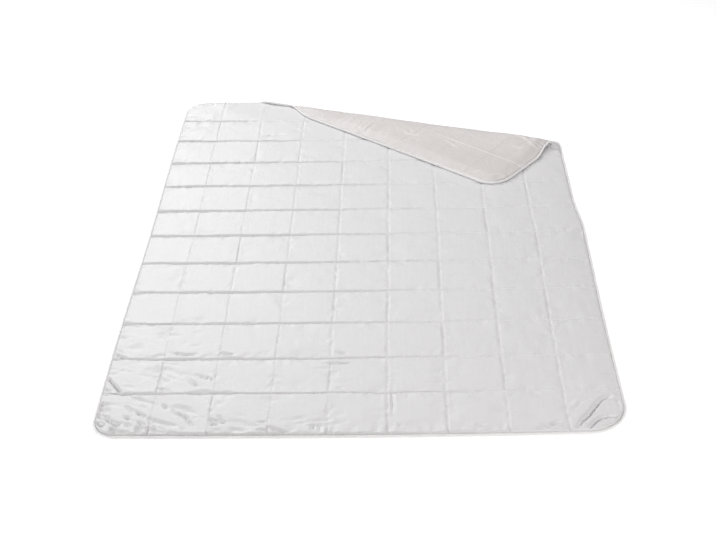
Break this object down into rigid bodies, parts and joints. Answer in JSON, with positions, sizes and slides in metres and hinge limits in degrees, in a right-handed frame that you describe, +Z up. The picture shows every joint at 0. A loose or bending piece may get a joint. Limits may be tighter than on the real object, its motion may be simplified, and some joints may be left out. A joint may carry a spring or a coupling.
{
  "type": "quilted duvet with one corner turned over",
  "caption": "Thin filled duvet sewn through in squares, with rounded corners and a corded edge, laid out flat with one far corner folded over on itself.",
  "frame": {"origin": "middle of the laid duvet's outline, on the surface it rests on", "axes": "+X across the duvet towards its right side, +Y along it from the near edge to the far edge, +Z up"},
  "size_m": [1.501, 2.0008, 0.0471],
  "materials": {
    "cover_cloth": "pale off-white plain-woven cloth with a soft sheen, slightly greyer on the underside",
    "edge_cloth": "lighter off-white cloth wrapped round a thin cord"
  },
  "bodies": {
    "root": {"quilted_body": "cover_cloth", "corded_edge": "edge_cloth"}
  },
  "joints": []
}
